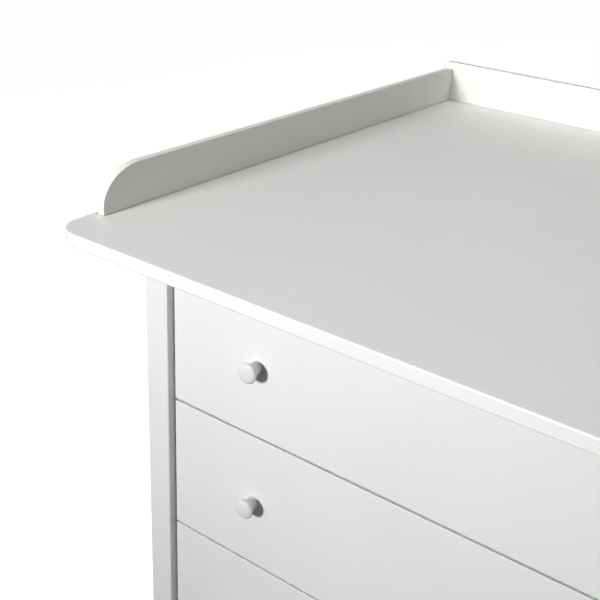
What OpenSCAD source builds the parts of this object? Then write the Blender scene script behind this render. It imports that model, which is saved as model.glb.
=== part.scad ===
// Changing table: a three-drawer chest on post legs that carries a larger
// changing board with a low rail along each side and a taller rail behind.
// Millimetres. +Z is up, +X is the width, -Y is the front. The origin is on
// the floor, in the middle of the changing board.

/* [Changing board] */
// Width of the changing board
board_w = 1180; // [1100:10:1300]
// Depth of the changing board from front edge to rear edge
board_d = 852; // [840:2:900]
// Height of the changing surface above the floor
surface_h = 880; // [860:5:940]
// Thickness of the changing board
board_t = 16; // [14:1:22]
// Plan radius of the two front corners of the board
board_r = 36; // [10:1:50]

/* [Rails on the board] */
// Thickness of the side rails and the rear rail
rail_t = 10; // [9:1:14]
// Height of the side rails above the board
side_rail_h = 54; // [48:1:70]
// Height of the curve at the front top corner of a side rail
side_rail_front_r = 46; // [10:1:46]
// Length of the same curve along the rail
side_rail_front_l = 60; // [10:1:80]
// Radius of the rear top corner of a side rail
side_rail_rear_r = 9; // [4:1:14]
// Distance from the board's front edge to the side rail's front end
side_rail_setback = 61.5; // [50:0.5:90]
// Distance from the board's side edge to the side rail's outer face
side_rail_inset = 8; // [2:0.5:9]
// Height of the rear rail above the board
rear_rail_h = 64; // [60:1:110]
// Radius of the two top corners of the rear rail
rear_rail_r = 9; // [4:1:24]
// Depth of the rebate in the board that the rails stand in
rail_rebate = 2; // [1:0.5:3]

/* [Chest frame] */
// Distance that the board stands out past the legs on each side
side_overhang = 51.5; // [50:0.5:56]
// Distance that the board stands out past the front legs
front_overhang = 92; // [80:1:100]
// Depth of the chest over its legs
chest_d = 560; // [550:2:580]
// Width of each leg, seen from the front
leg_w = 36; // [34:1:40]
// Depth of each leg, seen from the side
leg_d = 44; // [40:1:50]
// Thickness of the chest top
chest_top_t = 30; // [26:1:34]
// Distance that the chest top stands out past the legs
chest_top_lip = 6; // [2:1:8]
// Thickness of the side panels
side_panel_t = 16; // [12:1:18]
// Distance that a side panel is set in from the outer faces of the legs
side_panel_recess = 8; // [4:1:10]
// Thickness of the back panel
back_panel_t = 5; // [3:1:6]
// Thickness of the bottom panel
bottom_panel_t = 8; // [6:1:10]
// Thickness of the flat rails between the drawers
rail_flat_t = 18; // [16:1:20]
// Depth of the flat rails between the drawers
rail_flat_d = 70; // [60:1:80]
// Height of the apron below the lowest drawer
apron_h = 40; // [30:1:50]
// Diameter of the foot glides
glide_d = 30; // [24:1:32]
// Height of the foot glides
glide_h = 5; // [3:1:8]

/* [Drawers] */
// Distance from one drawer front to the next
drawer_pitch = 186; // [180:1:190]
// Gap between two drawer fronts
drawer_gap = 3; // [2:0.5:4]
// Gap between a drawer front and the leg beside it
drawer_side_gap = 2; // [1.5:0.5:3]
// Thickness of the drawer fronts
front_t = 18; // [16:1:20]
// Distance that the drawer fronts are set back from the faces of the legs
front_recess = 10; // [6:1:10]
// Height of the drawer box
box_h = 140; // [120:1:145]
// Length of the drawer box behind the drawer front
box_l = 476; // [440:1:480]
// Thickness of the drawer sides and the drawer back
box_side_t = 12; // [12:1:14]
// Thickness of the drawer bottom
box_base_t = 6; // [4:1:8]
// Height of the wooden runners
runner_h = 12; // [10:1:16]
// Depth of the groove in the drawer side that the runner sits in
groove_d = 7; // [6:0.5:8]

/* [Knobs] */
// Diameter of the knob's domed head
knob_d = 26; // [24:1:34]
// Distance that the knob stands out from the drawer front
knob_l = 22; // [20:1:28]
// Distance from the drawer front's end to the knob's centre
knob_inset = 130; // [120:1:180]

/* [Hidden] */
$fn = 48;

// colours
lacquer = [0.93, 0.93, 0.92];
lacquer_in = [0.88, 0.87, 0.84];
birch = [0.85, 0.74, 0.56];
ply = [0.86, 0.76, 0.60];
zinc = [0.72, 0.73, 0.75];
plastic = [0.86, 0.86, 0.85];

// changing board
bx = board_w / 2;
by = board_d / 2;
board_z = surface_h - board_t;

// chest: outer faces of the legs
lx = bx - side_overhang;
lx_in = lx - leg_w;
ly_f = -by + front_overhang;
ly_b = ly_f + chest_d;
leg_top = board_z - chest_top_t;
front_y = ly_f + front_recess;
front_back_y = front_y + front_t;
panel_x = lx - side_panel_recess - side_panel_t;
panel_y0 = ly_f + leg_d;
panel_y1 = ly_b - leg_d;

// rails behind and below the drawer fronts
flat_y0 = front_back_y + 2;
flat_y1 = flat_y0 + rail_flat_d;
back_rail_y = ly_b - 30;
back_rail_t = 18;
back_rail_h = 60;

// drawers: k is 0 for the top drawer
front_h = drawer_pitch - drawer_gap;
front_w = 2 * (lx_in - drawer_side_gap);
function front_z(k) = leg_top - 2.5 - front_h - k * drawer_pitch;
function flat_z(k) = front_z(k) - drawer_gap / 2 - rail_flat_t / 2;
box_lift = 16;
box_x = lx_in - 6.5;
box_back_y = front_back_y + box_l;
base_lift = 10;
knob_x = front_w / 2 - knob_inset;
panel_z = flat_z(2) - bottom_panel_t;
apron_z = front_z(2) - drawer_gap - apron_h;
runner_z = box_lift + box_h / 2 - runner_h / 2;
runner_y0 = panel_y0;
runner_y1 = panel_y1;
dowel_d = 8;
dowel_l = 32;
box_dowel_d = 6;

// side rail and its screws
srail_x = bx - side_rail_inset - rail_t;
srail_y0 = -by + side_rail_setback;
srail_y1 = by - rail_t;
srail_l = srail_y1 - srail_y0;
rail_screw_l = 45;
side_screw_y = [for (i = [0 : 3]) srail_y0 + 70 + i * (srail_l - 140) / 3];
rear_screw_x = [for (i = [-2 : 2]) i * (board_w - 160) / 4];
batten_w = 19;
batten_h = 18;
batten_x = lx + chest_top_lip + 0.5;
batten_y = [-250, 150];
batten_screw_y = [-200, -50, 100];

// steel angle brackets
bracket_t = 2.5;
bracket_w = 32;
bracket_x = 400;
board_bracket_z = 26;
wall_bracket_l = 40;
wall_hole_d = 6;
wall_hole_drop = 24;

// block from its low corner to its high corner
module blk(a, b) { translate(a) cube(b - a); }
// cylinder along X, Y or Z, starting at p
module cyl_x(p, d, l) { translate(p) rotate([0, 90, 0]) cylinder(h = l, d = d); }
module cyl_y(p, d, l) { translate(p) rotate([-90, 0, 0]) cylinder(h = l, d = d); }
module cyl_z(p, d, l) { translate(p) cylinder(h = l, d = d); }

// one copy on each side, the second mirrored
module both_sides() { children(); mirror([1, 0, 0]) children(); }

// side rail seen from the side: long curve at u = 0, small radius at u = l
module rounded_top(l, h, cl, ch, r1) {
    polygon(concat([[0, 0], [l, 0]],
        arc_pts(l - r1, h - r1, r1, r1, 0, 90, 8),
        arc_pts(cl, h - ch, cl, ch, 90, 180, 22)));
}

// ---------------------------------------------------------------- dowels
// heights of the dowels between a side panel and the legs
side_dowel_z = [for (i = [0 : 2]) panel_z + 50 + i * (leg_top - panel_z - 100) / 2];
// rail ends: y, z of each dowel on the front legs
front_rail_dowels = concat(
    [[flat_y0 + 7, leg_top - rail_flat_t / 2]],
    [for (k = [0 : 2]) [flat_y0 + 7, flat_z(k) + rail_flat_t / 2]]
);
// the apron lies in front of the flat rail, so its dowels sit lower
apron_dowels = [[front_y + 2 + 9, apron_z + 12]];
rear_rail_dowels = concat(
    [for (dz = [12, 34]) [back_rail_y + 9, leg_top - back_rail_h + dz]],
    [for (dz = [12, 34]) [back_rail_y + 9, panel_z - 20 + dz]]
);

module leg_dowels(front) {
    // dowels on one leg, on the left side of the chest; half of each is in the leg
    for (z = side_dowel_z)
        cyl_y([-(panel_x + side_panel_t / 2),
               (front ? panel_y0 : panel_y1) - dowel_l / 2, z], dowel_d, dowel_l);
    for (p = front ? concat(front_rail_dowels, apron_dowels) : rear_rail_dowels)
        cyl_x([-lx_in - dowel_l / 2, p[0], p[1]], dowel_d, dowel_l);
    cyl_z([-(lx - leg_w / 2), (front ? ly_f + leg_d / 2 : ly_b - leg_d / 2), leg_top - 18],
          dowel_d, dowel_l);
}
module all_dowels() { both_sides() { leg_dowels(true); leg_dowels(false); } }

module carcass_dowels() { color(birch) all_dowels(); }

// ------------------------------------------------------------------ legs
module leg(front) {
    // drawn for the left side
    color(lacquer) difference() {
        blk([-lx, front ? ly_f : ly_b - leg_d, glide_h],
            [-lx_in, front ? ly_f + leg_d : ly_b, leg_top]);
        leg_dowels(front);
        cyl_z([-(lx - leg_w / 2), front ? ly_f + leg_d / 2 : ly_b - leg_d / 2, 0], 6, 25);
    }
}
module leg_front_left() { leg(true); }
module leg_front_right() { mirror([1, 0, 0]) leg(true); }
module leg_rear_left() { leg(false); }
module leg_rear_right() { mirror([1, 0, 0]) leg(false); }

module foot_glides() {
    color(plastic) both_sides() for (y = [ly_f + leg_d / 2, ly_b - leg_d / 2])
        translate([-(lx - leg_w / 2), y, 0]) {
            rotate_extrude($fn = 64) polygon([
                [0, 0], [glide_d / 2 - 2, 0], [glide_d / 2, 2],
                [glide_d / 2, glide_h], [0, glide_h]]);
            cylinder(h = 25, d = 6);
        }
}

// ---------------------------------------------------------------- panels
module side_panel() {
    color(lacquer) difference() {
        blk([-(panel_x + side_panel_t), panel_y0, panel_z], [-panel_x, panel_y1, leg_top]);
        leg_dowels(true);
        leg_dowels(false);
        runner_screw_set();
    }
}
module side_panel_left() { side_panel(); }
module side_panel_right() { mirror([1, 0, 0]) side_panel(); }

back_screws = [for (x = [-400, -133, 133, 400]) for (z = [leg_top - 30, panel_z + 10]) [x, z]];
base_screws = [for (x = [-420, -140, 140, 420]) [x, flat_y0 + 35]];

module back_panel() {
    color(lacquer_in) difference() {
        blk([-lx_in, back_rail_y + back_rail_t, panel_z - 20],
            [lx_in, back_rail_y + back_rail_t + back_panel_t, leg_top]);
        panel_screw_set();
    }
}
module bottom_panel() {
    color(lacquer_in) difference() {
        union() {
            blk([-lx_in, flat_y0, panel_z], [lx_in, back_rail_y, flat_z(2)]);
            blk([-panel_x, panel_y0, panel_z], [panel_x, panel_y1, flat_z(2)]);
        }
        panel_screw_set();
    }
}
module panel_screw_set() {
    for (p = back_screws)
        translate([p[0], back_rail_y + back_rail_t + back_panel_t, p[1]]) rotate([90, 0, 0]) {
            cylinder(h = 20, d = 3);
            translate([0, 0, -1.8]) cylinder(h = 1.8, d = 7);
        }
    for (p = base_screws)
        translate([p[0], p[1], panel_z]) {
            cylinder(h = 22, d = 3);
            translate([0, 0, -1.8]) cylinder(h = 1.8, d = 7);
        }
}
module panel_screws() { color(zinc) panel_screw_set(); }

module chest_top() {
    color(lacquer) difference() {
        blk([-lx - chest_top_lip, ly_f - chest_top_lip, leg_top],
            [lx + chest_top_lip, ly_b + chest_top_lip, board_z]);
        all_dowels();
        bracket_screw_set();
    }
}

// ----------------------------------------------------------------- rails
module flat_rail(z) {
    color(lacquer_in) difference() {
        blk([-lx_in, flat_y0, z], [lx_in, flat_y1, z + rail_flat_t]);
        all_dowels();
        panel_screw_set();
    }
}
module top_rail_front() { flat_rail(leg_top - rail_flat_t); }
module divider_rail_upper() { flat_rail(flat_z(0)); }
module divider_rail_lower() { flat_rail(flat_z(1)); }
module bottom_rail_front() { flat_rail(flat_z(2)); }
module apron_front() {
    color(lacquer) difference() {
        blk([-lx_in, front_y + 2, apron_z], [lx_in, flat_y0, apron_z + apron_h]);
        all_dowels();
    }
}
module rear_rail_bar(z) {
    color(lacquer_in) difference() {
        blk([-lx_in, back_rail_y, z], [lx_in, back_rail_y + back_rail_t, z + back_rail_h]);
        all_dowels();
        panel_screw_set();
    }
}
module top_rail_rear() { rear_rail_bar(leg_top - back_rail_h); }
module bottom_rail_rear() { rear_rail_bar(panel_z - 20); }

// --------------------------------------------------------------- runners
runner_screw_y = [-240, -50, 140];
module runner_screw_set() {
    // drawn for the left side: screws pass from inside through the runner into the panel
    for (k = [0 : 2]) for (y = runner_screw_y)
        translate([-(box_x - groove_d + 1), y, front_z(k) + runner_z + runner_h / 2])
            rotate([0, -90, 0]) {
                cylinder(h = 34, d = 3.5);
                cylinder(h = 3, d = 7);
            }
}
module runners() {
    color(birch) difference() {
        for (k = [0 : 2])
            blk([-panel_x, runner_y0, front_z(k) + runner_z],
                [-(box_x - groove_d + 1), runner_y1, front_z(k) + runner_z + runner_h]);
        runner_screw_set();
    }
}
module runners_left() { runners(); }
module runners_right() { mirror([1, 0, 0]) runners(); }
module runner_screws() { color(zinc) both_sides() runner_screw_set(); }

// -------------------------------------------------- changing board, rails
module board_screw_set() {
    both_sides() for (y = side_screw_y)
        translate([-(srail_x + rail_t / 2), y, board_z]) {
            cylinder(h = rail_screw_l, d = 3.5);
            cylinder(h = 3, d = 6.5);
        }
    for (x = rear_screw_x) translate([x, by - rail_t / 2, board_z]) {
        cylinder(h = rail_screw_l, d = 3.5);
        cylinder(h = 3, d = 6.5);
    }
    both_sides() for (y = batten_screw_y)
        translate([-(batten_x + batten_w / 2), y, board_z - batten_h]) {
            cylinder(h = batten_h + 12, d = 4);
            cylinder(h = 3, d = 8);
        }
}
module board_screws() { color(zinc) board_screw_set(); }

module changing_board() {
    color(lacquer) difference() {
        translate([0, 0, board_z]) linear_extrude(board_t) difference() {
            translate([-bx, -by]) square([board_w, board_d]);
            both_sides_2d() translate([-bx - 1, -by - 1]) difference() {
                square([board_r + 1, board_r + 1]);
                translate([board_r + 1, board_r + 1]) circle(r = board_r, $fn = 96);
            }
        }
        // rebates for the rails
        both_sides() blk([-(srail_x + rail_t), srail_y0, surface_h - rail_rebate], [-srail_x, srail_y1, surface_h + 1]);
        blk([-bx - 1, srail_y1, surface_h - rail_rebate], [bx + 1, by + 1, surface_h + 1]);
        board_screw_set();
        bracket_screw_set();
    }
}
module both_sides_2d() { children(); mirror([1, 0]) children(); }

module side_rail() {
    color(lacquer) difference() {
        translate([-(srail_x + rail_t), srail_y0, surface_h - rail_rebate]) rotate([90, 0, 90])
            linear_extrude(rail_t)
                rounded_top(srail_l, side_rail_h + rail_rebate, side_rail_front_l,
                            side_rail_front_r, side_rail_rear_r);
        board_screw_set();
    }
}
module side_rail_left() { side_rail(); }
module side_rail_right() { mirror([1, 0, 0]) side_rail(); }
module rear_rail() {
    color(lacquer) difference() {
        translate([0, by, surface_h - rail_rebate]) rotate([90, 0, 0]) linear_extrude(rail_t)
            polygon(concat([[-bx, 0], [bx, 0]],
                arc_pts(bx - rear_rail_r, rear_rail_h + rail_rebate - rear_rail_r,
                        rear_rail_r, rear_rail_r, 0, 90, 14),
                arc_pts(-bx + rear_rail_r, rear_rail_h + rail_rebate - rear_rail_r,
                        rear_rail_r, rear_rail_r, 90, 180, 14)));
        board_screw_set();
    }
}
module locating_battens() {
    color(lacquer_in) difference() {
        both_sides()
            blk([-batten_x - batten_w, batten_y[0], board_z - batten_h],
                [-batten_x, batten_y[1], board_z]);
        board_screw_set();
    }
}

// -------------------------------------------------------------- brackets
module board_brackets() {
    y = ly_b + chest_top_lip;
    color(zinc) for (x = [-bracket_x, bracket_x]) difference() {
        union() {
            blk([x - bracket_w / 2, y, board_z - board_bracket_z], [x + bracket_w / 2, y + bracket_t, board_z]);
            blk([x - bracket_w / 2, y, board_z - bracket_t], [x + bracket_w / 2, y + 38, board_z]);
        }
        bracket_screw_set();
    }
}
module wall_brackets() {
    color(zinc) for (x = [-bracket_x, bracket_x]) difference() {
        union() {
            blk([x - bracket_w / 2, by - bracket_t, board_z - wall_bracket_l], [x + bracket_w / 2, by, board_z]);
            blk([x - bracket_w / 2, by - wall_bracket_l, board_z - bracket_t], [x + bracket_w / 2, by, board_z]);
        }
        cyl_y([x, by - bracket_t - 1, board_z - wall_hole_drop], wall_hole_d, bracket_t + 2);
        bracket_screw_set();
    }
}
module bracket_screw_set() {
    y = ly_b + chest_top_lip;
    for (x = [-bracket_x, bracket_x]) {
        // into the chest top's rear edge
        translate([x, y + bracket_t, board_z - 14]) rotate([90, 0, 0]) {
            cylinder(h = 22, d = 4);
            translate([0, 0, -2.4]) cylinder(h = 2.4, d = 8);
        }
        // up into the board, two brackets
        for (yy = [y + 26, by - 28])
            translate([x, yy, board_z - bracket_t]) {
                cylinder(h = 15, d = 4);
                translate([0, 0, -2.4]) cylinder(h = 2.4, d = 8);
            }
    }
}
module bracket_screws() { color(zinc) bracket_screw_set(); }

// --------------------------------------------------------------- drawers
// dowels that join the drawer's corners, drawn at the left
module drawer_dowel_set(k) {
    z0 = front_z(k) + box_lift;
    both_sides() for (dz = [25, box_h - 25]) {
        cyl_y([-(box_x - box_side_t / 2), front_back_y - 11, z0 + dz], box_dowel_d, 28);
        cyl_x([-box_x + 4, box_back_y - box_side_t / 2, z0 + dz], box_dowel_d, 24);
    }
}
module knob_screw_set(k) {
    both_sides() translate([-knob_x, front_back_y, front_z(k) + front_h / 2]) rotate([90, 0, 0]) {
        cylinder(h = front_t + 14, d = 4);
        translate([0, 0, -2.6]) cylinder(h = 2.6, d = 9);
    }
}
module base_groove(k) {
    z0 = front_z(k) + box_lift + base_lift;
    x = box_x - box_side_t + 6;
    blk([-x, front_back_y - 6, z0], [x, box_back_y - box_side_t + 6, z0 + box_base_t]);
}
module drawer_front(k) {
    color(lacquer) difference() {
        blk([-front_w / 2, front_y, front_z(k)], [front_w / 2, front_back_y, front_z(k) + front_h]);
        drawer_dowel_set(k);
        knob_screw_set(k);
        base_groove(k);
    }
}
module drawer_side(k) {
    z0 = front_z(k) + box_lift;
    color(ply) difference() {
        blk([-box_x, front_back_y, z0], [-box_x + box_side_t, box_back_y, z0 + box_h]);
        blk([-box_x - 1, runner_y0 - 2, front_z(k) + runner_z - 0.8],
            [-box_x + groove_d, box_back_y + 1, front_z(k) + runner_z + runner_h + 0.4]);
        drawer_dowel_set(k);
        base_groove(k);
    }
}
module drawer_back(k) {
    z0 = front_z(k) + box_lift;
    x = box_x - box_side_t;
    color(ply) difference() {
        blk([-x, box_back_y - box_side_t, z0], [x, box_back_y, z0 + box_h]);
        drawer_dowel_set(k);
        base_groove(k);
        drawer_stop_screws(k);
    }
}
module drawer_bottom(k) {
    z0 = front_z(k) + box_lift + base_lift;
    x = box_x - box_side_t + 5.5;
    color(lacquer_in)
        blk([-x, front_back_y - 5.5, z0], [x, box_back_y - box_side_t + 5.5, z0 + box_base_t]);
}

// half profile of the knob: radius and distance from the drawer front
function arc_pts(cx, cy, rx, ry, a0, a1, n) =
    [for (i = [0 : n]) [cx + rx * cos(a0 + (a1 - a0) * i / n), cy + ry * sin(a0 + (a1 - a0) * i / n)]];
kr = knob_d / 2;
head_y = 0.79 * knob_l;
neck = [[0.64, 0], [0.64, 0.045], [0.60, 0.08], [0.58, 0.18], [0.60, 0.30], [0.66, 0.42],
        [0.75, 0.53], [0.85, 0.63], [0.94, 0.71], [0.985, 0.76]];
knob_half = concat([[0, 0]], [for (p = neck) [p[0] * kr, p[1] * knob_l]],
                   arc_pts(0, head_y, kr, knob_l - head_y, 0, 90, 14));
module knob() {
    difference() {
        rotate_extrude($fn = 72) polygon(knob_half);
        translate([0, 0, -1]) cylinder(h = 15, d = 4);
    }
}
module drawer_knobs(k) {
    color(lacquer) both_sides()
        translate([-knob_x, front_y, front_z(k) + front_h / 2]) rotate([90, 0, 0]) knob();
}
module drawer_stop_screws(k) {
    z0 = front_z(k) + box_lift;
    both_sides() translate([-440, box_back_y - 4, z0 - 14]) {
        cylinder(h = 30, d = 3);
        cylinder(h = 2, d = 7);
    }
}
module drawer_stops(k) {
    z0 = front_z(k) + box_lift;
    color(birch) both_sides() difference() {
        blk([-452, box_back_y - 14, z0 - 14], [-428, box_back_y, z0]);
        drawer_stop_screws(k);
    }
    color(zinc) drawer_stop_screws(k);
}

leg_front_left();
leg_front_right();
leg_rear_left();
leg_rear_right();
foot_glides();
side_panel_left();
side_panel_right();
back_panel();
bottom_panel();
chest_top();
top_rail_front();
divider_rail_upper();
divider_rail_lower();
bottom_rail_front();
apron_front();
top_rail_rear();
bottom_rail_rear();
runners_left();
runners_right();
carcass_dowels();
runner_screws();
panel_screws();
changing_board();
side_rail_left();
side_rail_right();
rear_rail();
locating_battens();
board_screws();
board_brackets();
wall_brackets();
bracket_screws();
drawer_front(0);  // drawer_1_front
drawer_side(0);  // drawer_1_side_left
mirror([1, 0, 0]) drawer_side(0);  // drawer_1_side_right
drawer_back(0);  // drawer_1_back
drawer_bottom(0);  // drawer_1_bottom
drawer_knobs(0);  // drawer_1_knobs
color(zinc) knob_screw_set(0);  // drawer_1_knob_screws
color(birch) drawer_dowel_set(0);  // drawer_1_dowels
drawer_stops(0);  // drawer_1_stops
drawer_front(1);  // drawer_2_front
drawer_side(1);  // drawer_2_side_left
mirror([1, 0, 0]) drawer_side(1);  // drawer_2_side_right
drawer_back(1);  // drawer_2_back
drawer_bottom(1);  // drawer_2_bottom
drawer_knobs(1);  // drawer_2_knobs
color(zinc) knob_screw_set(1);  // drawer_2_knob_screws
color(birch) drawer_dowel_set(1);  // drawer_2_dowels
drawer_stops(1);  // drawer_2_stops
drawer_front(2);  // drawer_3_front
drawer_side(2);  // drawer_3_side_left
mirror([1, 0, 0]) drawer_side(2);  // drawer_3_side_right
drawer_back(2);  // drawer_3_back
drawer_bottom(2);  // drawer_3_bottom
drawer_knobs(2);  // drawer_3_knobs
color(zinc) knob_screw_set(2);  // drawer_3_knob_screws
color(birch) drawer_dowel_set(2);  // drawer_3_dowels
drawer_stops(2);  // drawer_3_stops
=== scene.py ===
import bpy, bmesh, math
from mathutils import Vector, Matrix


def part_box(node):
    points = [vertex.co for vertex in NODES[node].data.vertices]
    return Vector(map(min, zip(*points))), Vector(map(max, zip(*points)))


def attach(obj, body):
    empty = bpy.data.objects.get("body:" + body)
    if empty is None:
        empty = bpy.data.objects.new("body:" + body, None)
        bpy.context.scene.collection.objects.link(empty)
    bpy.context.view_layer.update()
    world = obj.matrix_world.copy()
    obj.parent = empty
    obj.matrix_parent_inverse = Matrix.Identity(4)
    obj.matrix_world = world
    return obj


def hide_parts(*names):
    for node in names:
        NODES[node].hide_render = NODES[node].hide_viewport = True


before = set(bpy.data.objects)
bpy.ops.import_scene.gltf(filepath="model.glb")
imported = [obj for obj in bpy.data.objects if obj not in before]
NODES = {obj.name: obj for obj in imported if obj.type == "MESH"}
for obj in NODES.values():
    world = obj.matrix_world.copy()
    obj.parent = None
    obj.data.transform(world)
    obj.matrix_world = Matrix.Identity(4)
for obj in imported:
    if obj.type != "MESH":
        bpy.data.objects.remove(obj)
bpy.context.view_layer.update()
sc = bpy.context.scene

# ------------------------------------------------------------------ camera
# world: metres, the frame of the CAD model
yaw, pitch, roll = 0.64464, 0.44036, 0.04623
fwd0 = Vector((-math.sin(yaw), math.cos(yaw), 0))
right0 = Vector((math.cos(yaw), math.sin(yaw), 0))
up0 = Vector((0, 0, 1))
fwd = math.cos(pitch) * fwd0 - math.sin(pitch) * up0
upv = math.sin(pitch) * fwd0 + math.cos(pitch) * up0
r = math.cos(roll) * right0 + math.sin(roll) * upv
u = -math.sin(roll) * right0 + math.cos(roll) * upv
cam_data = bpy.data.cameras.new("camera")
cam = bpy.data.objects.new("camera", cam_data)
sc.collection.objects.link(cam)
cam_data.sensor_width = 36.0
cam_data.lens = 1026.7 / 600 * 36.0
rot = Matrix((r, u, -fwd)).transposed().to_4x4()
cam.matrix_world = Matrix.Translation((0.27709, -1.11060, 1.30668)) @ rot
cam_data.clip_start, cam_data.clip_end = 0.05, 200
sc.camera = cam
sc.view_settings.view_transform = "Standard"
sc.view_settings.look = "None"


# --------------------------------------------------------------- materials
def node_mat(name):
    m = bpy.data.materials.new(name)
    m.use_nodes = True
    nt = m.node_tree
    bsdf = nt.nodes["Principled BSDF"]
    tc = nt.nodes.new("ShaderNodeTexCoord")
    return m, nt, bsdf, tc.outputs["Object"]


def mapping(nt, src, scale, loc=(0, 0, 0)):
    n = nt.nodes.new("ShaderNodeMapping")
    n.inputs["Scale"].default_value = scale
    n.inputs["Location"].default_value = loc
    nt.links.new(src, n.inputs["Vector"])
    return n.outputs["Vector"]


def noise(nt, src, scale, detail=3.0, rough=0.5, dist=0.0):
    n = nt.nodes.new("ShaderNodeTexNoise")
    n.inputs["Scale"].default_value = scale
    n.inputs["Detail"].default_value = detail
    n.inputs["Roughness"].default_value = rough
    n.inputs["Distortion"].default_value = dist
    nt.links.new(src, n.inputs["Vector"])
    return n.outputs["Fac"]


def ramp(nt, fac, stops):
    n = nt.nodes.new("ShaderNodeValToRGB")
    cr = n.color_ramp
    while len(cr.elements) < len(stops):
        cr.elements.new(0.5)
    for e, (p, c) in zip(cr.elements, stops):
        e.position = p
        e.color = (*c, 1) if len(c) == 3 else c
    nt.links.new(fac, n.inputs["Fac"])
    return n.outputs["Color"]


def math_node(nt, op, a, b=None, c=None, clamp=False):
    n = nt.nodes.new("ShaderNodeMath")
    n.operation = op
    n.use_clamp = clamp
    for i, v in enumerate((a, b, c)):
        if v is None:
            continue
        if isinstance(v, (int, float)):
            n.inputs[i].default_value = v
        else:
            nt.links.new(v, n.inputs[i])
    return n.outputs[0]


def map_range(nt, v, lo, hi, to_lo, to_hi):
    n = nt.nodes.new("ShaderNodeMapRange")
    n.inputs["From Min"].default_value = lo
    n.inputs["From Max"].default_value = hi
    n.inputs["To Min"].default_value = to_lo
    n.inputs["To Max"].default_value = to_hi
    nt.links.new(v, n.inputs["Value"])
    return n.outputs["Result"]


def bump(nt, bsdf, height, strength, distance, prev=None):
    n = nt.nodes.new("ShaderNodeBump")
    n.inputs["Strength"].default_value = strength
    n.inputs["Distance"].default_value = distance
    nt.links.new(height, n.inputs["Height"])
    if prev is not None:
        nt.links.new(prev, n.inputs["Normal"])
    nt.links.new(n.outputs["Normal"], bsdf.inputs["Normal"])
    return n.outputs["Normal"]


def lacquer(name, tone=(0.80, 0.80, 0.797), dark=(0.768, 0.768, 0.763), rough=(0.42, 0.56),
            grain=None, peel=0.10):
    """Sprayed white lacquer: orange peel, faint clouding and, over solid wood, open grain."""
    m, nt, b, co = node_mat(name)
    cloud = noise(nt, co, 5.0, 4.0, 0.55, 0.3)
    fine = noise(nt, co, 160.0, 2.0, 0.5)
    both = math_node(nt, "MULTIPLY_ADD", fine, 0.25, math_node(nt, "MULTIPLY", cloud, 0.75))
    nt.links.new(ramp(nt, both, [(0.30, dark), (0.68, tone)]), b.inputs["Base Color"])
    peel_a = noise(nt, co, 520.0, 2.0, 0.45)
    n1 = bump(nt, b, peel_a, peel, 0.0006)
    if grain:
        g = noise(nt, mapping(nt, co, grain), 1.0, 5.0, 0.62, 0.6)
        pores = math_node(nt, "POWER", g, 3.0)
        n1 = bump(nt, b, pores, 0.16, 0.0009, n1)
    smear = noise(nt, mapping(nt, co, (9, 9, 9), (3, 1, 2)), 1.0, 5.0, 0.6, 1.2)
    nt.links.new(map_range(nt, smear, 0.3, 0.7, rough[0], rough[1]), b.inputs["Roughness"])
    b.inputs["Specular IOR Level"].default_value = 0.30
    b.inputs["Coat Weight"].default_value = 0.05
    b.inputs["Coat Roughness"].default_value = 0.35
    return m


def wood(name, light, dark, axis, ply=None, rough=(0.42, 0.6)):
    """Clear-coated birch. axis is the grain direction; ply is the axis through the veneers."""
    m, nt, b, co = node_mat(name)
    s = {"x": (3.5, 70, 70), "y": (70, 3.5, 70), "z": (70, 70, 3.5)}[axis]
    fine_s = {"x": (14, 900, 900), "y": (900, 14, 900), "z": (900, 900, 14)}[axis]
    wide = noise(nt, mapping(nt, co, tuple(v * 0.35 for v in s)), 1.0, 4.0, 0.55, 1.4)
    rings = noise(nt, mapping(nt, co, s), 1.0, 3.0, 0.5, 0.8)
    streak = noise(nt, mapping(nt, co, fine_s), 1.0, 2.0, 0.6)
    mixv = math_node(nt, "MULTIPLY_ADD", rings, 0.35, math_node(nt, "MULTIPLY", wide, 0.65))
    mixv = math_node(nt, "MULTIPLY_ADD", streak, 0.22, math_node(nt, "MULTIPLY", mixv, 0.86))
    mid = tuple((l + d) / 2 for l, d in zip(light, dark))
    col = ramp(nt, mixv, [(0.34, dark), (0.52, mid), (0.70, light)])
    if ply:
        sep = nt.nodes.new("ShaderNodeSeparateXYZ")
        nt.links.new(co, sep.inputs[0])
        v = sep.outputs["XYZ".index(ply.upper())]
        band = math_node(nt, "FRACT", math_node(nt, "MULTIPLY", v, 1000 / 2.4))
        edge = ramp(nt, band, [(0.46, (1, 1, 1)), (0.54, (0.66, 0.58, 0.48)), (0.92, (0.66, 0.58, 0.48)), (1.0, (1, 1, 1))])
        mx = nt.nodes.new("ShaderNodeMix")
        mx.data_type = "RGBA"
        mx.blend_type = "MULTIPLY"
        mx.inputs["Factor"].default_value = 1.0
        # the veneer pattern shows only on the cut edges, not on the face veneer
        geo = nt.nodes.new("ShaderNodeNewGeometry")
        sn = nt.nodes.new("ShaderNodeSeparateXYZ")
        nt.links.new(geo.outputs["True Normal"], sn.inputs[0])
        facing = math_node(nt, "ABSOLUTE", sn.outputs["XYZ".index(ply.upper())])
        nt.links.new(map_range(nt, facing, 0.2, 0.8, 1.0, 0.0), mx.inputs["Factor"])
        nt.links.new(col, mx.inputs["A"])
        nt.links.new(edge, mx.inputs["B"])
        col = mx.outputs["Result"]
    nt.links.new(col, b.inputs["Base Color"])
    n1 = bump(nt, b, streak, 0.18, 0.0004)
    bump(nt, b, rings, 0.10, 0.0006, n1)
    nt.links.new(map_range(nt, streak, 0.3, 0.7, rough[0], rough[1]), b.inputs["Roughness"])
    b.inputs["Coat Weight"].default_value = 0.08
    b.inputs["Coat Roughness"].default_value = 0.3
    return m


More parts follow.
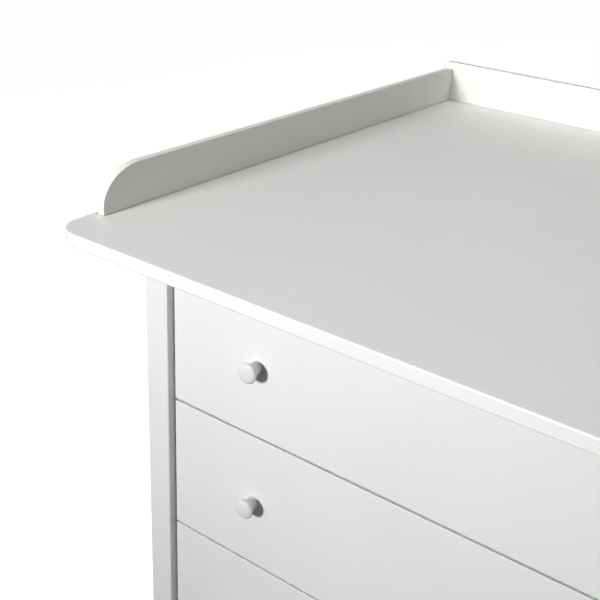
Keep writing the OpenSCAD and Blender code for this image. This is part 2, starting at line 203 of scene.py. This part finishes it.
def zinc_mat():
    m, nt, b, co = node_mat("zinc_steel")
    spangle = nt.nodes.new("ShaderNodeTexVoronoi")
    spangle.inputs["Scale"].default_value = 260.0
    nt.links.new(co, spangle.inputs["Vector"])
    n = noise(nt, co, 90.0, 4.0, 0.6, 0.5)
    v = math_node(nt, "MULTIPLY_ADD", spangle.outputs["Distance"], 0.4, math_node(nt, "MULTIPLY", n, 0.7))
    nt.links.new(ramp(nt, v, [(0.2, (0.50, 0.51, 0.53)), (0.7, (0.74, 0.75, 0.77))]), b.inputs["Base Color"])
    b.inputs["Metallic"].default_value = 1.0
    nt.links.new(map_range(nt, n, 0.3, 0.7, 0.28, 0.5), b.inputs["Roughness"])
    bump(nt, b, n, 0.15, 0.0003)
    return m


def plastic_mat():
    m, nt, b, co = node_mat("plastic_white")
    n = noise(nt, co, 700.0, 2.0, 0.5)
    c = noise(nt, co, 40.0, 3.0, 0.5)
    nt.links.new(ramp(nt, c, [(0.3, (0.66, 0.66, 0.64)), (0.7, (0.74, 0.74, 0.72))]), b.inputs["Base Color"])
    nt.links.new(map_range(nt, c, 0.3, 0.7, 0.42, 0.6), b.inputs["Roughness"])
    bump(nt, b, n, 0.25, 0.0004)
    return m


M_MDF = lacquer("lacquer_mdf")
# changing board: a slightly warmer copy of the white lacquer, a painted warm cast of the light on the board's top
M_TOP_WARM_CAST = lacquer("lacquer_top_painted_warm_cast", (0.80, 0.797, 0.783), (0.77, 0.766, 0.75), rough=(0.42, 0.54), peel=0.08)
# side and rear rails: a warmer copy of the white lacquer, painted warm shade standing in for bounce light from
# the top
M_RAIL_WARM_SHADE = lacquer("lacquer_rail_painted_warm_shade", (0.80, 0.796, 0.755), (0.77, 0.765, 0.723), rough=(0.44, 0.58))
M_LEG = lacquer("lacquer_solid_upright", grain=(240, 240, 7))
M_BAR = lacquer("lacquer_solid_cross", grain=(7, 240, 240))
# knobs: a darker, warmer copy of the white lacquer, painted shade that holds down the key light on the domed
# heads
M_KNOB_PAINTED_SHADE = lacquer("lacquer_knob_painted_shade", (0.745, 0.74, 0.73), (0.71, 0.705, 0.695), rough=(0.40, 0.50), peel=0.06)
M_IN = lacquer("lacquer_inner", tone=(0.72, 0.71, 0.68), dark=(0.66, 0.65, 0.62), rough=(0.5, 0.65), peel=0.2)
M_PLY_X = wood("birch_ply_side", (0.80, 0.66, 0.46), (0.62, 0.46, 0.28), "y", "x")
M_PLY_Y = wood("birch_ply_back", (0.80, 0.66, 0.46), (0.62, 0.46, 0.28), "x", "y")
M_BIRCH = wood("birch_solid", (0.78, 0.63, 0.42), (0.58, 0.42, 0.25), "y")
M_ZINC = zinc_mat()
M_PLASTIC = plastic_mat()


# ---------------------------------------------------------------- geometry
def finish_mesh(name, bm, mat, body, nodes):
    bmesh.ops.recalc_face_normals(bm, faces=bm.faces)
    me = bpy.data.meshes.new(name)
    bm.to_mesh(me)
    bm.free()
    for p in me.polygons:
        p.use_smooth = True
    ob = bpy.data.objects.new(name, me)
    sc.collection.objects.link(ob)
    me.materials.append(mat)
    wn = ob.modifiers.new("normals", "WEIGHTED_NORMAL")
    wn.mode = "FACE_AREA"
    wn.weight = 50
    wn.keep_sharp = False
    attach(ob, body)
    if nodes:
        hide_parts(*nodes)
    return ob


AX = {"x": lambda p, a: (a, p[0], p[1]), "y": lambda p, a: (p[0], a, p[1]), "z": lambda p, a: (p[0], p[1], a)}


def add_prism(bm, pts, axis, a, b, rad, seg=4, rim=True, min_angle=35):
    """Outline extruded along an axis, its sharp edges rounded to rad."""
    lo = [bm.verts.new(AX[axis](p, a)) for p in pts]
    hi = [bm.verts.new(AX[axis](p, b)) for p in pts]
    n = len(pts)
    faces = [bm.faces.new(lo[::-1]), bm.faces.new(hi)]
    for i in range(n):
        j = (i + 1) % n
        faces.append(bm.faces.new((lo[i], lo[j], hi[j], hi[i])))
    bmesh.ops.recalc_face_normals(bm, faces=faces)
    if rad > 0:
        edges = [e for f in faces for e in f.edges]
        edges = [e for e in set(edges) if e.calc_face_angle(0) > math.radians(min_angle)]
        edges.sort(key=lambda e: e.index)
        bmesh.ops.bevel(bm, geom=edges, offset=rad, segments=seg, profile=0.5,
                        affect="EDGES", clamp_overlap=True)


def rect(x0, x1, y0, y1):
    return [(x0, y0), (x1, y0), (x1, y1), (x0, y1)]


def arc(cx, cy, rr, a0, a1, n):
    return [(cx + rr * math.cos(math.radians(a0 + (a1 - a0) * i / n)),
             cy + rr * math.sin(math.radians(a0 + (a1 - a0) * i / n))) for i in range(n + 1)]


def board_box(node, mat, body, rad, seg=4, axis="y"):
    lo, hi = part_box(node)
    bm = bmesh.new()
    if axis == "y":
        add_prism(bm, rect(lo.x, hi.x, lo.z, hi.z), "y", lo.y, hi.y, rad, seg)
    else:
        add_prism(bm, rect(lo.x, hi.x, lo.y, hi.y), "z", lo.z, hi.z, rad, seg)
    return finish_mesh("vis_" + node, bm, mat, body, [node])


CHEST = "chest"
# changing board: rounded front corners, fine eased edges
lo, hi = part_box("changing_board")
R = 0.036
out = arc(lo.x + R, lo.y + R, R, 180, 270, 20) + arc(hi.x - R, lo.y + R, R, 270, 360, 20) \
    + arc(hi.x - 0.002, hi.y - 0.002, 0.002, 0, 90, 3) + arc(lo.x + 0.002, hi.y - 0.002, 0.002, 90, 180, 3)
bm = bmesh.new()
add_prism(bm, out, "z", lo.z, hi.z, 0.0022, 5)
finish_mesh("vis_changing_board", bm, M_TOP_WARM_CAST, CHEST, ["changing_board"])

# side rails: long curve at the front, small radius at the rear
for side in ("left", "right"):
    lo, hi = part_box("side_rail_" + side)
    fl, fh, rr = 0.060, 0.046, 0.009
    z0 = lo.z + 0.0023
    out = [(lo.y, z0)] + [(lo.y + fl - fl * math.cos(math.radians(a)), hi.z - fh + fh * math.sin(math.radians(a)))
                          for a in (90 * i / 40 for i in range(41))] \
        + arc(hi.y - rr, hi.z - rr, rr, 90, 0, 8) + [(hi.y, z0)]
    bm = bmesh.new()
    add_prism(bm, out, "x", lo.x, hi.x, 0.0013, 4)
    finish_mesh("vis_side_rail_" + side, bm, M_RAIL_WARM_SHADE, CHEST, ["side_rail_" + side])
lo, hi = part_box("rear_rail")
rr, z0 = 0.009, lo.z + 0.0023
out = [(lo.x, z0)] + [(lo.x + rr - x, z) for x, z in arc(0, hi.z - rr, rr, 0, 90, 14)] \
    + [(hi.x - rr + x, z) for x, z in arc(0, hi.z - rr, rr, 90, 0, 14)] + [(hi.x, z0)]
bm = bmesh.new()
add_prism(bm, out, "y", lo.y, hi.y, 0.0013, 4)
finish_mesh("vis_rear_rail", bm, M_RAIL_WARM_SHADE, CHEST, ["rear_rail"])

# post legs: solid wood, eased edges, chamfered foot
for n in ("leg_front_left", "leg_front_right", "leg_rear_left", "leg_rear_right"):
    lo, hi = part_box(n)
    bm = bmesh.new()
    c = 0.0018
    ring = lambda k, z: [(x, y, z) for x, y in
                         arc(lo.x + c + k, lo.y + c + k, c, 180, 270, 5) + arc(hi.x - c - k, lo.y + c + k, c, 270, 360, 5)
                         + arc(hi.x - c - k, hi.y - c - k, c, 0, 90, 5) + arc(lo.x + c + k, hi.y - c - k, c, 90, 180, 5)]
    rings = [ring(0.0022, lo.z), ring(0.0004, lo.z + 0.0018), ring(0, lo.z + 0.003)]
    rings += [ring(0, lo.z + 0.003 + (hi.z - lo.z - 0.0035) * i / 12) for i in range(1, 13)]
    rings += [ring(0.0004, hi.z)]
    vs = [[bm.verts.new(p) for p in rg] for rg in rings]
    bm.faces.new(vs[0][::-1])
    bm.faces.new(vs[-1])
    for a, b in zip(vs, vs[1:]):
        for i in range(len(a)):
            j = (i + 1) % len(a)
            bm.faces.new((a[i], a[j], b[j], b[i]))
    finish_mesh("vis_" + n, bm, M_LEG, CHEST, [n])

board_box("chest_top", M_MDF, CHEST, 0.0025)
board_box("apron_front", M_BAR, CHEST, 0.0016)
for n in ("side_panel_left", "side_panel_right"):
    board_box(n, M_MDF, CHEST, 0.0012)
board_box("back_panel", M_IN, CHEST, 0.0006, 2)
for n in ("top_rail_front", "divider_rail_upper", "divider_rail_lower", "bottom_rail_front",
          "top_rail_rear", "bottom_rail_rear"):
    board_box(n, M_IN, CHEST, 0.0012, 3)

# drawer fronts and knobs
def lathe(bm, prof, cx, y0, cz, n=72):
    rings = []
    for (rr, h) in prof:
        if rr < 1e-6:
            rings.append([bm.verts.new((cx, y0 - h, cz))])
        else:
            rings.append([bm.verts.new((cx + rr * math.cos(2 * math.pi * i / n), y0 - h,
                                        cz + rr * math.sin(2 * math.pi * i / n))) for i in range(n)])
    for a, b in zip(rings, rings[1:]):
        for i in range(n):
            j = (i + 1) % n
            if len(a) == 1:
                bm.faces.new((a[0], b[i], b[j]))
            elif len(b) == 1:
                bm.faces.new((a[i], a[j], b[0]))
            else:
                bm.faces.new((a[i], a[j], b[j], b[i]))


def spline(pts, per=6):
    """Catmull-Rom through the points."""
    res = []
    p = [pts[0]] + list(pts) + [pts[-1]]
    for i in range(1, len(p) - 2):
        for k in range(per):
            t = k / per
            q = [0.5 * (2 * p[i][d] + (p[i + 1][d] - p[i - 1][d]) * t
                        + (2 * p[i - 1][d] - 5 * p[i][d] + 4 * p[i + 1][d] - p[i + 2][d]) * t * t
                        + (3 * p[i][d] - p[i - 1][d] - 3 * p[i + 1][d] + p[i + 2][d]) * t ** 3) for d in (0, 1)]
            res.append((max(q[0], 0), q[1]))
    res.append(pts[-1])
    return res


KNOB = [(0.0, 0.0), (0.0081, 0.0), (0.0083, 0.0003), (0.0083, 0.0009)] \
    + spline([(0.0080, 0.0015), (0.0076, 0.0026), (0.0075, 0.0045), (0.0078, 0.0067), (0.0085, 0.0091),
              (0.0097, 0.0116), (0.0110, 0.0139), (0.0121, 0.0156), (0.0128, 0.0166), (0.0130, 0.0175),
              (0.0127, 0.0185), (0.0117, 0.0196), (0.0100, 0.0205), (0.0076, 0.0213), (0.0048, 0.0217),
              (0.0022, 0.02195)], 3) + [(0.0, 0.0220)]
BODIES = {1: "drawer_upper", 2: "drawer_middle", 3: "drawer_lower"}
for i, body in BODIES.items():
    p = "drawer_%d_" % i
    board_box(p + "front", M_MDF, body, 0.0014)
    lo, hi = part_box(p + "knobs")
    y0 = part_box(p + "front")[0].y
    cz = (lo.z + hi.z) / 2
    bm = bmesh.new()
    for cx in (lo.x + 0.013, hi.x - 0.013):
        lathe(bm, KNOB, cx, y0, cz)
    finish_mesh("vis_" + p + "knobs", bm, M_KNOB_PAINTED_SHADE, body, [p + "knobs"])


# ------------------------------------------- carried-over CAD nodes, finished
def cad(node, mat, rad=0.0006, seg=2):
    o = NODES[node]
    o.data.materials.clear()
    o.data.materials.append(mat)
    w = o.modifiers.new("weld", "WELD")
    w.merge_threshold = 0.00001
    if rad:
        b = o.modifiers.new("eased", "BEVEL")
        b.width = rad
        b.segments = seg
        b.limit_method = "ANGLE"
        b.angle_limit = math.radians(50)
        b.use_clamp_overlap = True


for i in (1, 2, 3):
    p = "drawer_%d_" % i
    cad(p + "side_left", M_PLY_X)
    cad(p + "side_right", M_PLY_X)
    cad(p + "back", M_PLY_Y)
    cad(p + "bottom", M_IN, 0)
    cad(p + "stops", M_BIRCH)
    cad(p + "knob_screws", M_ZINC, 0.0003)
    cad(p + "dowels", M_BIRCH, 0)
cad("bottom_panel", M_IN, 0.0005)
cad("runners_left", M_BIRCH, 0.001)
cad("runners_right", M_BIRCH, 0.001)
cad("locating_battens", M_IN, 0.0012)
cad("carcass_dowels", M_BIRCH, 0)
for n in ("runner_screws", "panel_screws", "board_screws", "bracket_screws"):
    cad(n, M_ZINC, 0.0002)
for n in ("board_brackets", "wall_brackets"):
    cad(n, M_ZINC, 0.0006)
cad("foot_glides", M_PLASTIC, 0.0004)

# --------------------------------------------------------- floor and lights
bm = bmesh.new()
vs = [bm.verts.new(p) for p in ((-30, -30, 0), (30, -30, 0), (30, 30, 0), (-30, 30, 0))]
bm.faces.new(vs)
me = bpy.data.meshes.new("floor")
bm.to_mesh(me)
bm.free()
floor = bpy.data.objects.new("floor", me)
sc.collection.objects.link(floor)
fm, fnt, fb, fco = node_mat("floor_paper")
fb.inputs["Base Color"].default_value = (0.90, 0.90, 0.90, 1)
fb.inputs["Roughness"].default_value = 0.9
fb.inputs["Specular IOR Level"].default_value = 0.1
fb.inputs["Emission Color"].default_value = (1, 1, 1, 1)
fb.inputs["Emission Strength"].default_value = 0.75
me.materials.append(fm)
floor.visible_diffuse = False
floor.visible_glossy = False


def area(name, loc, target, size, power, size_y=None, spread=180):
    d = bpy.data.lights.new(name, "AREA")
    d.shape = "RECTANGLE"
    d.size = size
    d.size_y = size_y or size
    d.energy = power
    d.spread = math.radians(spread)
    o = bpy.data.objects.new(name, d)
    sc.collection.objects.link(o)
    o.location = loc
    o.rotation_euler = (Vector(target) - Vector(loc)).to_track_quat("-Z", "Y").to_euler()
    return o


area("key", (-0.92, -3.34, 1.57), (-0.42, -0.3, 1.38), 0.48, 19.2, spread=70)
area("overhead", (-0.15, -0.3, 2.45), (0.0, 0.1, 0.88), 1.2, 11)
area("back_fill", (2.4, 2.3, 0.46), (0.25, 0.0, 0.46), 1.8, 62, size_y=0.7)

world = bpy.data.worlds.new("studio")
sc.world = world
world.use_nodes = True
wt = world.node_tree
bg = wt.nodes["Background"]
bg.inputs["Color"].default_value = (1, 1, 1, 1)
tc = wt.nodes.new("ShaderNodeTexCoord")
sep = wt.nodes.new("ShaderNodeSeparateXYZ")
wt.links.new(tc.outputs["Generated"], sep.inputs[0])
mr = wt.nodes.new("ShaderNodeMapRange")
mr.inputs["From Min"].default_value = -0.35
mr.inputs["From Max"].default_value = 0.6
mr.inputs["To Min"].default_value = 0.07
mr.inputs["To Max"].default_value = 0.34
wt.links.new(sep.outputs["Z"], mr.inputs["Value"])
mrx = wt.nodes.new("ShaderNodeMapRange")
mrx.inputs["From Min"].default_value = -1.0
mrx.inputs["From Max"].default_value = 1.0
mrx.inputs["To Min"].default_value = 1.3
mrx.inputs["To Max"].default_value = 0.3
wt.links.new(sep.outputs["X"], mrx.inputs["Value"])
mul = wt.nodes.new("ShaderNodeMath")
mul.operation = "MULTIPLY"
wt.links.new(mr.outputs["Result"], mul.inputs[0])
wt.links.new(mrx.outputs["Result"], mul.inputs[1])
lp = wt.nodes.new("ShaderNodeLightPath")
mx = wt.nodes.new("ShaderNodeMix")
mx.data_type = "FLOAT"
wt.links.new(lp.outputs["Is Camera Ray"], mx.inputs["Factor"])
wt.links.new(mul.outputs[0], mx.inputs["A"])
mx.inputs["B"].default_value = 1.0
wt.links.new(mx.outputs["Result"], bg.inputs["Strength"])
